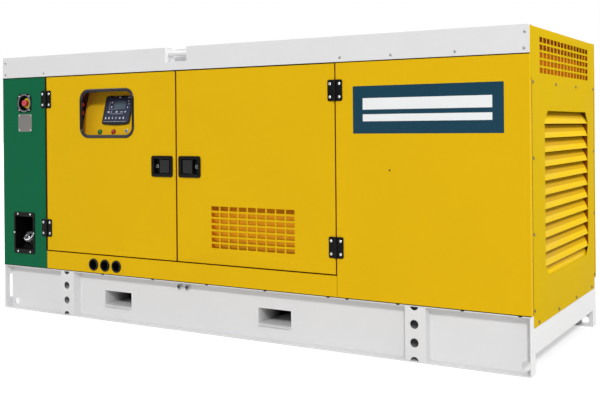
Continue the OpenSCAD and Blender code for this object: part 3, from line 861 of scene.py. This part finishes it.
class GENSET_OT_locks(bpy.types.Operator):
    """Finishes the paddle locks and their key barrels"""

    bl_idname = "genset.locks"
    bl_label = "Locks"

    def execute(self, context):
        for side, body in (("left", "door_left"), ("right", "door_right")):
            self.tray("lock_" + side)
            softened("paddle_" + side, "black_plastic_gloss", 1.0 * MM, steps=3)
            low, high, centre = around("lock_" + side)
            inset = 35.5 * MM
            place = on_front(low.x + inset if side == "left" else high.x - inset, centre.z, -11 * MM)
            bm = bmesh.new()
            lathe(bm, [(7.5, 0), (11, 0), (11, 4), (10, 5), (7.5, 5), (7.5, 0)], [place], 28)
            lathe(bm, [(0, 0), (7.4, 0), (7.4, 4), (0, 4)], [place], 28, index=1)
            box(bm, (-0.9 * MM, -4.6 * MM, 3.8 * MM), (0.9 * MM, 4.6 * MM, 4.4 * MM), place=place)
            piece(bm, f"key_barrel_{side}", "worn_nickel", "black_nylon", body=body)
        return {"FINISHED"}

    def tray(self, node):
        """The lock's frame, with a wide rounded rim round the opening."""
        bm = joined(node)
        low, high, centre = around(node)
        inner = (high - low) / 2 - Vector((10 * MM, 0, 10 * MM))
        rim = [edge for edge in bm.edges if all(
            abs(vert.co.y - low.y) < WELD and abs(vert.co.x - centre.x) < inner.x
            and abs(vert.co.z - centre.z) < inner.z for vert in edge.verts)]
        made = bmesh.ops.bevel(bm, geom=rim, offset=5 * MM, segments=4, profile=0.5,
                               affect="EDGES", clamp_overlap=True, material=-1)
        round_edges(bm, 1.6 * MM, steps=3)
        for face in made["faces"]:
            if face.is_valid:
                face.smooth = True
                face.material_index = 1
        finished(bm, node, "black_nylon", "black_plastic_gloss")


class GENSET_OT_window(bpy.types.Operator):
    """Makes the left door's window: a two-beaded rubber and a clear pane"""

    bl_idname = "genset.window"
    bl_label = "Window"

    def execute(self, context):
        wanted = settings("window")
        low, high, centre = around("window_rubber")
        shape, face = outline(high.x - low.x, high.z - low.z, wanted.corner, steps=10)
        turns = [math.radians(18 * i) for i in range(11)]
        half = wanted.roll / 2
        bead = [(half * (math.cos(a) - math.cos(b)), wanted.bead * (math.sin(b) - math.sin(a)))
                for a, b in zip(turns, turns[1:])]
        lip = [(0.8, 0), (0.8, 0.8), (1.2, 0), (1.6, -1.6), (0.4, -2)]
        rings(shape, face, bead + [(inward * MM, rise * MM) for inward, rise in lip])
        bmesh.ops.delete(shape, geom=[face], context="FACES")
        bm = bmesh.new()
        stamp(bm, shape, [facing((centre.x, FRONT_Y, centre.z), FRONT)])
        bmesh.ops.solidify(bm, geom=bm.faces[:], thickness=0.8 * MM)
        turn_outwards(bm)
        for item in bm.faces:
            item.smooth = True
        piece(bm, "window_rubber_beaded", "epdm_rubber", body="door_left", replaces=["window_rubber"])
        low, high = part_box("window_pane")
        corner = wanted.corner - 17 * MM
        pane = slab(high.x - low.x, high.z - low.z, corner, wanted.pane, 0.5 * MM, steps=10)
        bm = bmesh.new()
        stamp(bm, pane, [facing((centre.x, high.y, centre.z), FRONT)])
        piece(bm, "window_pane_clear", "clear_polycarbonate", body="door_left", replaces=["window_pane"])
        return {"FINISHED"}


def console_place(x, up, proud=0.0):
    """Places a shape on the console's leaning face, at a height up along it from its foot."""
    joint = JOINTS["key_turn"]
    inwards = Vector(joint["axis"])
    rise = Vector((0, -inwards.z, inwards.y))
    point = Vector(joint["pos_m"]) + rise * (up - KEY_UP) - inwards * proud
    point.x = x
    return facing(point, -inwards)


class GENSET_OT_console(bpy.types.Operator):
    """Makes the console: controller with its display and symbols, lamps, key and terminal bars"""

    bl_idname = "genset.console"
    bl_label = "Console"

    def execute(self, context):
        # The console's coat carries painted light.
        softened("control_console", "console_powder_coat", 2 * MM)
        self.controller()
        self.lamps()
        self.key()
        self.terminals()
        return {"FINISHED"}

    def controller(self):
        wanted = settings("console")
        width, height = wanted.face
        x, up = middle("controller").x, CONTROLLER_UP
        shape, _ = outline(width, height, 13 * MM)
        bottom = min(shape.edges, key=lambda edge: sum(vert.co.y for vert in edge.verts))
        bmesh.ops.subdivide_edges(shape, edges=[bottom], cuts=9)
        for vert in shape.verts:
            if vert.co.y < -height / 2 + 0.1 * MM:
                vert.co.y -= wanted.sag * (1 - (2 * vert.co.x / width) ** 2)
        lid = raised(shape, shape.faces[:][0], wanted.proud - 2 * MM)
        rings(shape, lid, [(0.6 * MM, 1.4 * MM), (1.4 * MM, 0.6 * MM)])
        turn_outwards(shape)
        bm = bmesh.new()
        stamp(bm, shape, [console_place(x, up)])
        film, _ = outline(width - 14 * MM, height - 26 * MM, 9 * MM)
        stamp(bm, film, [console_place(x, up - 1 * MM, wanted.proud + 0.15 * MM)], 1)
        print_level = wanted.proud + 0.3 * MM
        screen, _ = outline(0.42 * width, 0.30 * height, 3 * MM)
        stamp(bm, screen, [console_place(x + 0.065 * width, up + 0.165 * height, print_level)], 2)
        piece(bm, "controller_body", "black_plastic_gloss", "navy_film", "display_grey",
              replaces=["controller"], slot="navy_plastic")
        self.symbols(x, up, width, height, print_level)

    def symbols(self, x, up, width, height, proud):
        """Plain white outlines, dots, bars and triangles in the rows of the controller's film."""
        bm = bmesh.new()

        def mark(across, down, size, corners=4):
            shape = bmesh.new()
            bmesh.ops.create_circle(shape, cap_ends=True, segments=corners, radius=0.5)
            bmesh.ops.rotate(shape, matrix=Matrix.Rotation(math.pi / corners, 3, "Z"), verts=shape.verts)
            reach = max(vert.co.x for vert in shape.verts) * 2
            bmesh.ops.scale(shape, vec=(size[0] / reach, size[1] / reach, 1), verts=shape.verts)
            stamp(bm, shape, [
                console_place(x + (across - 0.5) * width, up + (0.5 - down) * height, proud)])

        for place, across in enumerate((0.12, 0.25, 0.38, 0.51, 0.65, 0.78)):
            mark(across, 0.80, (11 * MM, 13 * MM), 3 if place in (2, 3) else 10)
            mark(across, 0.74, (4 * MM, 1.5 * MM))
        for across, size in ((0.19, 17), (0.30, 5), (0.49, 15), (0.65, 5), (0.70, 5), (0.81, 12)):
            mark(across, 0.58, (size * MM, 8 * MM))
        mark(0.49, 0.645, (0.5 * width, 1.3 * MM))
        mark(0.48, 0.925, (0.84 * width, 1.3 * MM))
        for across, down, size in ((0.19, 0.33, (1.3, 56)), (0.34, 0.485, (66, 1.3)),
                                   (0.27, 0.24, (9, 9)), (0.27, 0.40, (9, 8)), (0.87, 0.20, (6, 9)),
                                   (0.90, 0.30, (6, 6)), (0.87, 0.42, (5, 10)), (0.36, 0.035, (4, 4)),
                                   (0.53, 0.06, (17, 5)), (0.90, 0.07, (34, 4))):
            mark(across, down, (size[0] * MM, size[1] * MM))
        piece(bm, "controller_symbols", "printed_white")

    def lamps(self):
        dome = [math.radians(9 * i) for i in range(11)]
        for node in ("lamp_green", "lamp_red"):
            place = console_place(middle(node).x, LAMPS_UP)
            bm = bmesh.new()
            lathe(bm, [(0, 0), (17, 0), (17, 2.5), (16.8, 3.6), (16.4, 3.6), (16.2, 2.5), (0, 2.5)],
                  [place], index=1)
            lathe(bm, [(16.2 * math.cos(a), 3 + 11 * math.sin(a)) for a in dome], [place])
            piece(bm, f"{node}_lens", node[5:] + "_polycarbonate", "black_plastic_gloss",
                  replaces=[node], slot=SLOT_OF[node])

    def key(self):
        place = console_place(middle("key_switch").x, KEY_UP)
        bm = bmesh.new()
        lathe(bm, [(0, 0.5), (14, 0.5), (14, 5), (12.6, 7.6), (10, 8.6), (8.6, 8.2), (8.2, 7), (0, 7)],
              [place])
        bow = bmesh.new()
        box(bow, (-1.4 * MM, -6.5 * MM, 6.5 * MM), (1.4 * MM, 6.5 * MM, 15 * MM), 0.8 * MM)
        stamp(bm, bow, [place], 1)
        piece(bm, "key_and_barrel", "chrome_plate", "black_nylon", body="key", replaces=["key_switch"])

    def terminals(self):
        """Three sleeved bars on a dark board beside the console."""
        bm = bmesh.new()
        lathe(bm, [(0, 0), (13, 0), (14, 2), (14, 108), (13, 110), (0, 110)],
              [facing((-1.273, -0.560, z), RIGHT) for z in (1.418, 1.356, 1.300)], 20)
        board = bmesh.new()
        box(board, (-1.285, -0.535, 1.22), (-1.162, -0.520, 1.48), 2 * MM)
        stamp(bm, board, [Matrix()], 1)
        piece(bm, "terminal_bars", "red_sleeve", "phenolic_board")


class GENSET_OT_stop_button(bpy.types.Operator):
    """Makes the stop button: mushroom head, well, legend disc and plate screws"""

    bl_idname = "genset.stop_button"
    bl_label = "Stop button"

    def execute(self, context):
        softened("estop_housing", "black_nylon", 1.2 * MM)
        centre = middle("estop_housing")
        places = [on_front(centre.x, centre.z)]
        ring = [(51.5, 3), (60, 3), (60, 5), (58.8, 6.6), (56.5, 7), (53.4, 6.6), (51.5, 4.6), (51.5, 3)]
        disc = [(17, -21.9), (34, -21.9), (34, -20), (33.4, -19.4), (17.6, -19.4), (17, -20),
                (17, -21.9)]
        for name, build, points in (
                ("stop_ring", "grey_polyamide", ring), ("stop_legend_disc", "legend_yellow", disc)):
            bm = bmesh.new()
            lathe(bm, points, places, 48)
            piece(bm, name, build)
        bm = bmesh.new()
        lathe(bm, [(0, -26), (11, -26), (11, -16), (15.5, -16), (15.5, -9), (19.5, -7.5), (21, -5),
                   (21, 2), (20.3, 5), (18, 7.6), (14, 9.6), (8, 10.7), (0, 11)], places, 48)
        assign(bm, lambda spot, normal: spot.y > FRONT_Y + 8.5 * MM)
        piece(bm, "stop_head", "stop_red", "stop_collar", body="stop_button", replaces=["estop_button"])
        fasten("stop_plate_screws", "zinc_plate", dome_screw(settings("fasteners").small),
               four(centre, 47 * MM, 46 * MM, 4 * MM))
        return {"FINISHED"}


class GENSET_OT_data_plate(bpy.types.Operator):
    """Makes the blank rating plate with its border and screws"""

    bl_idname = "genset.data_plate"
    bl_label = "Data plate"

    def execute(self, context):
        low, high, centre = around("data_plate")
        width, height = high.x - low.x, high.z - low.z
        bm = bmesh.new()
        shape, face = outline(width, height, 7 * MM)
        rings(shape, face, [(0, 1.2 * MM), (0.5 * MM, 0.4 * MM), (2.5 * MM, 0), (0.5 * MM, -0.3 * MM)])
        for item in shape.faces:
            item.smooth = False
            item.material_index = int(item != face)
        stamp(bm, shape, [on_front(centre.x, centre.z)])
        piece(bm, "rating_plate", "plate_aluminium", "plate_border", replaces=["data_plate"])
        fasten("rating_plate_screws", "zinc_plate", dome_screw(settings("fasteners").small),
               four(centre, width / 2 - 9 * MM, height / 2 - 9 * MM, 1.2 * MM))
        return {"FINISHED"}


class GENSET_OT_filler(bpy.types.Operator):
    """Makes the filler recess, its cap and fitting, and the flange's screws"""

    bl_idname = "genset.filler"
    bl_label = "Filler"

    def execute(self, context):
        self.recess()
        self.cap()
        low, high, centre = around("filler_box")
        side, rise = (high.x - low.x) / 2 - 7 * MM, (high.z - low.z) / 2 - 13 * MM
        fasten("filler_screws", "zinc_plate", dome_screw(settings("fasteners").filler), [
            *four(centre, 57 * MM, rise, 6 * MM),
            *[on_front(centre.x + across, centre.z, 6 * MM) for across in (-side, side)]])
        return {"FINISHED"}

    def recess(self):
        """The moulded box: a matt flange, and a smoother inside that catches some light."""
        bm = joined("filler_box")
        low, high, centre = around("filler_box")
        half = (high.x - low.x) / 2 - 15 * MM
        assign(bm, lambda spot, normal: abs(spot.x - centre.x) < half and spot.y > low.y + 1 * MM
               and normal.dot(centre - spot) > 0)
        round_edges(bm, 2.5 * MM, steps=3)
        finished(bm, "filler_box", "black_nylon", "black_plastic_gloss")

    def cap(self):
        """A threaded neck, a fluted cap and the grip bar across it, leaning forwards by 45 degrees."""
        low, high, centre = around("filler_cap")
        lean = FRONT + UP
        place = facing(Vector((centre.x, high.y, low.z)) + lean * 30 * MM / math.sqrt(2), lean)
        bm = bmesh.new()
        thread = [(30 if i % 2 else 27.5, 4 + 3 * i) for i in range(17)]
        lathe(bm, [(0, 0), (30, 0), *thread, (0, 57)], [place], index=1)
        neck = 57 * MM
        cap = bmesh.new()
        bmesh.ops.create_circle(cap, cap_ends=True, segments=60, radius=(high.x - low.x) / 2)
        for index, vert in enumerate(cap.verts):
            vert.co *= 1 if index % 5 < 3 else 0.93
        cap.normal_update()
        lid = raised(cap, cap.faces[:][0], 20 * MM)
        rings(cap, lid, [(1.5 * MM, 2 * MM), (3 * MM, 1 * MM), (9 * MM, 0), (2 * MM, -2 * MM)])
        turn_outwards(cap)
        for item in cap.faces:
            item.smooth = False
        assign(cap, lambda spot, normal: normal.z > 0.9 and spot.z < 22 * MM)
        stamp(bm, cap, [place @ Matrix.Translation((0, 0, neck))])
        grip = place @ Matrix.Rotation(math.radians(-40), 4, "Z")
        box(bm, (-34 * MM, -6 * MM, neck + 19 * MM), (34 * MM, 6 * MM, neck + 32 * MM), 3 * MM, grip)
        piece(bm, "filler_cap_fluted", "chrome_plate", "black_nylon", replaces=["filler_cap"])


class GENSET_OT_outlets(bpy.types.Operator):
    """Makes the rubber rings of the cable outlets"""

    bl_idname = "genset.outlets"
    bl_label = "Cable outlets"

    def execute(self, context):
        low, high, centre = around("cable_grommets")
        places = [on_front(x, centre.z) for x in (low.x + 38 * MM, low.x + 133 * MM, high.x - 38 * MM)]
        bm = bmesh.new()
        lathe(bm, [(26, -14), (31, -14), (31, 0), (38, 0), (38, 3), (36.5, 6.4), (33, 8.6), (29.5, 8.4),
                   (27, 6), (26, 2.5), (26, -14)], places, 40)
        piece(bm, "outlet_rubbers", "moulded_rubber", replaces=["cable_grommets"])
        bm = bmesh.new()
        lathe(bm, [(26, -14), (31, -14), (33, -70), (31, -70), (26, -14)], places)
        piece(bm, "outlet_sleeves", "black_nylon")
        return {"FINISHED"}


class GENSET_OT_fasteners(bpy.types.Operator):
    """Puts in the rail screws, the end bolts and the panel's plug"""

    bl_idname = "genset.fasteners"
    bl_label = "Fasteners"

    def execute(self, context):
        sizes = settings("fasteners")
        lower, upper = RAIL_Z + sizes.rail_above_seam, TOP_Z - 37 * MM
        along = (-END_X + 27 * MM, LEFT_SEAM - 21 * MM, RIGHT_SEAM + 30 * MM, 1.078, 1.428,
                 END_X - 25 * MM)
        rail = [*[(x, lower) for x in along], (-END_X + 27 * MM, upper), (END_X - 22 * MM, upper)]
        fasten("rail_screws", "worn_nickel", dome_screw(sizes.screw), [
            facing((x, side * BACK_Y, height), (0, side, 0)) for side in (-1, 1) for x, height in rail])
        places = [(y, 1.406) for y in (-0.610, -0.205, 0.205, 0.610)]
        places += [(y, height) for y in (-0.612, 0.612) for height in (1.040, 0.675, 0.310)]
        places += [(y, 0.245) for y in (-0.540, -0.180, 0.180, 0.540)]
        fasten("end_bolts", "weathered_zinc", hex_bolt(sizes.bolt), [
            facing((side * END_X, y, height), (side, 0, 0)) for side in (-1, 1) for y, height in places])
        fasten("panel_plug", "epdm_rubber", dome_screw(5 * MM), [on_front(1.067, 0.972)])
        return {"FINISHED"}


class GENSET_OT_marking(bpy.types.Operator):
    """Lays a plain two-tone film patch on the right panel"""

    bl_idname = "genset.marking"
    bl_label = "Film patch"

    def execute(self, context):
        bm = bmesh.new()
        x, film, edge = 1.266, 0.3 * MM, 0.1 * MM
        stamp(bm, slab(816 * MM, 249 * MM, 4 * MM, film, edge), [on_front(x, 1.2855, 0.05 * MM)])
        for low, high in ((1.225, 1.262), (1.286, 1.346)):
            stamp(bm, slab(700 * MM, high - low, 2 * MM, film, edge),
                  [on_front(x, (low + high) / 2, 0.05 * MM + film)], 1)
        piece(bm, "film_patch", "teal_film", "white_film")
        return {"FINISHED"}


class GENSET_OT_stage(bpy.types.Operator):
    """Sets the camera, the lamps, the surroundings and the floor"""

    bl_idname = "genset.stage"
    bl_label = "Stage"

    def execute(self, context):
        scene = context.scene
        wanted = settings("stage")
        ahead = Vector((-math.sin(wanted.turn), math.cos(wanted.turn), 0))
        right = Vector((math.cos(wanted.turn), math.sin(wanted.turn), 0))
        side = right * math.cos(wanted.roll) + UP * math.sin(wanted.roll)
        above = UP * math.cos(wanted.roll) - right * math.sin(wanted.roll)
        camera = linked("camera", bpy.data.cameras.new("camera"))
        turn = Matrix((side, above, -ahead)).transposed().to_4x4()
        camera.matrix_world = Matrix.Translation(wanted.eye) @ turn
        camera.data.lens = wanted.lens
        camera.data.shift_y = wanted.rise
        camera.data.clip_end = 100
        scene.camera = camera
        self.lamp("key_lamp", (12.0, -20.7, 13.9), 3.2, wanted.key)
        self.lamp("side_lamp", (9.0, -0.6, 9.0), 1.4, wanted.side)
        self.lamp("top_lamp", (-4.9, -0.5, 5.6), 3.0, wanted.top)
        scene.view_settings.view_transform = "Standard"
        self.surroundings(scene, wanted.ambient)
        self.floor(wanted.floor_glow)
        return {"FINISHED"}

    def lamp(self, name, point, size, power):
        light = bpy.data.lights.new(name, "AREA")
        light.shape = "DISK"
        light.size = size
        light.energy = power
        linked(name, light).matrix_world = facing(point, Vector(point) - Vector((0, 0, 0.8)))

    def seen(self, material, *kinds):
        """1 for rays of the given kinds, else 0."""
        path = add(material, "LightPath").outputs
        found = path[f"Is {kinds[0]} Ray"]
        for kind in kinds[1:]:
            found = add(material, "Math", {0: found, 1: path[f"Is {kind} Ray"]}, operation="MAXIMUM")
        return found

    def surroundings(self, scene, strength):
        """Even light, a white background, and in reflections a room that is darker in front."""
        world = blank("surroundings", bpy.data.worlds)
        scene.world = world
        towards = add(world, "TexCoord").outputs["Generated"]
        parts = add(world, "SeparateXYZ", {0: towards}).outputs
        walls = add(world, "MapRange", {
            "Value": parts["Y"], "From Min": -0.65, "From Max": -0.05, "To Min": 0.12, "To Max": 1})
        ceiling = add(world, "MapRange", {
            "Value": parts["Z"], "From Min": 0.15, "From Max": 0.8, "To Min": 0, "To Max": 1.4})
        room = add(world, "Math", {0: walls, 1: ceiling}, operation="ADD")
        ambient, mirrored, white = [
            add(world, "Background", {"Color": WHITE, "Strength": light})
            for light in (strength, room, 1)]
        lit = add(world, "MixShader", {0: self.seen(world, "Glossy"), 1: ambient, 2: mirrored})
        shown = add(world, "MixShader", {
            0: self.seen(world, "Camera", "Transmission"), 1: lit, 2: white})
        add(world, "OutputWorld", {"Surface": shown})

    def floor(self, glow):
        """A pale matt floor that keeps the shadow near the set and turns white further out."""
        material = blank("pale_floor")
        matt = add(material, "BsdfDiffuse", {"Color": (*linear("#C9C9C9"), 1)})
        place = add(material, "TexCoord").outputs["Object"]
        reach = add(material, "VectorMath", {0: place}, operation="LENGTH").outputs["Value"]
        lift = add(material, "MapRange", {
            "Value": reach, "From Min": 2, "From Max": 5, "To Min": glow, "To Max": 1})
        light = add(material, "Emission", {"Color": WHITE, "Strength": lift})
        both = add(material, "AddShader", {0: matt, 1: light})
        mixed = add(material, "MixShader", {
            0: self.seen(material, "Camera", "Glossy", "Transmission"), 1: matt, 2: both})
        add(material, "OutputMaterial", {"Surface": mixed})
        bm = bmesh.new()
        bmesh.ops.create_grid(bm, x_segments=1, y_segments=1, size=60)
        bmesh.ops.translate(bm, vec=(0, 0, -0.2 * MM), verts=bm.verts)
        mesh_object("floor", bm, [material])


OPERATORS = (
    GENSET_OT_stage, GENSET_OT_base, GENSET_OT_canopy, GENSET_OT_doors, GENSET_OT_hinges,
    GENSET_OT_locks, GENSET_OT_window, GENSET_OT_console, GENSET_OT_stop_button, GENSET_OT_data_plate,
    GENSET_OT_filler, GENSET_OT_outlets, GENSET_OT_fasteners, GENSET_OT_marking,
)


class GENSET_PT_panel(bpy.types.Panel):
    """Lists the generator set's pieces"""

    bl_label = "Generator set"
    bl_idname = "GENSET_PT_panel"
    bl_space_type = "VIEW_3D"
    bl_region_type = "UI"
    bl_category = "Generator set"

    def draw(self, context):
        for operator in OPERATORS:
            self.layout.operator(operator.bl_idname)
        for name in SETTINGS:
            group = getattr(context.scene, name)
            box_layout = self.layout.box()
            for prop in group.bl_rna.properties:
                if prop.identifier not in ("rna_type", "name"):
                    box_layout.prop(group, prop.identifier)


def register():
    for name, group in SETTINGS.items():
        bpy.utils.register_class(group)
        setattr(bpy.types.Scene, name, PointerProperty(type=group))
    for cls in (*OPERATORS, GENSET_PT_panel):
        bpy.utils.register_class(cls)


def unregister():
    for cls in (GENSET_PT_panel, *reversed(OPERATORS)):
        bpy.utils.unregister_class(cls)
    for name, group in reversed(SETTINGS.items()):
        delattr(bpy.types.Scene, name)
        bpy.utils.unregister_class(group)


def main():
    register()
    for operator in OPERATORS:
        group, action = operator.bl_idname.split(".")
        getattr(getattr(bpy.ops, group), action)()


if __name__ == "__main__":
    main()
